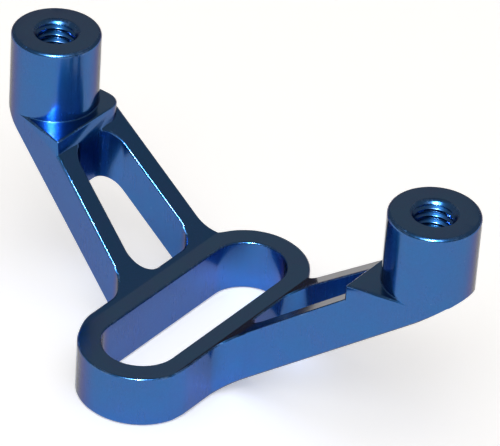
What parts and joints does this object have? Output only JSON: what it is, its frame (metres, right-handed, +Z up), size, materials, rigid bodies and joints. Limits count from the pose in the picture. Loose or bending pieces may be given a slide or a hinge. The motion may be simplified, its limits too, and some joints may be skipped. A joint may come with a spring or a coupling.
{
  "type": "camera mounting bracket",
  "caption": "One-piece milled aluminium camera mounting bracket: a slotted stadium ring as foot, with windowed arms that rise to round tapped bosses.",
  "frame": {"origin": "centre of the ring's slot, on the flat underside of the ring", "axes": "+Z up along the bosses' axes; +X from the left boss to the right boss; +Y along the ring's slot, towards the end beside which the bosses stand"},
  "size_m": [0.049, 0.026, 0.0217],
  "materials": {
    "anodised_aluminium": "satin-polished, dyed blue anodising"
  },
  "bodies": {
    "root": {"bracket": "anodised_aluminium"}
  },
  "joints": []
}
